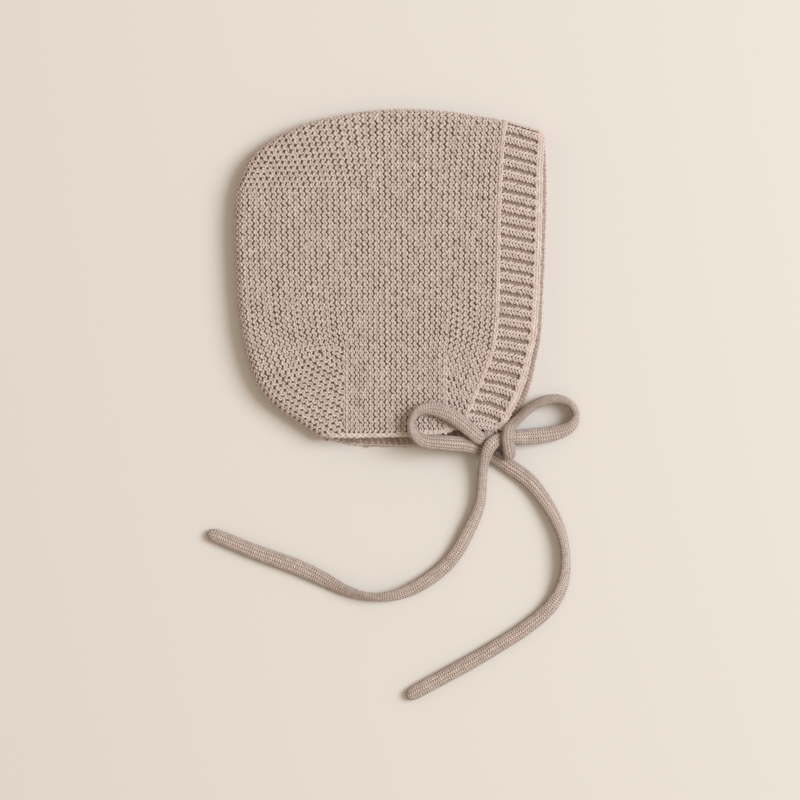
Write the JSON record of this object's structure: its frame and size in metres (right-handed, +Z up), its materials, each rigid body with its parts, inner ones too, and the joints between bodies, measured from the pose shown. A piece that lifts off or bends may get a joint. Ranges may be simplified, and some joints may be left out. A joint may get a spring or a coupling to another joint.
{
  "type": "baby bonnet",
  "caption": "Knitted baby bonnet folded flat, with a garter-stitch crown, a ribbed face band and knitted cord ties in a bow.",
  "frame": {"origin": "middle of the footprint of the crown and the face band, on the surface the bonnet lies on", "axes": "+Z up from that surface, +Y from the neck towards the top fold, +X from the back fold towards the face opening"},
  "size_m": [0.188, 0.2971, 0.016],
  "materials": {
    "knit_garter": "dusty beige-pink melange yarn in garter stitch, soft and matt",
    "knit_rib": "the same yarn in rib, with a chain selvage",
    "knit_tie": "the same yarn in a finely knitted tubular cord, pressed flat"
  },
  "bodies": {
    "root": {"crown": "knit_garter", "face_band": "knit_rib", "tie_left": "knit_tie", "tie_right": "knit_tie"}
  },
  "joints": []
}
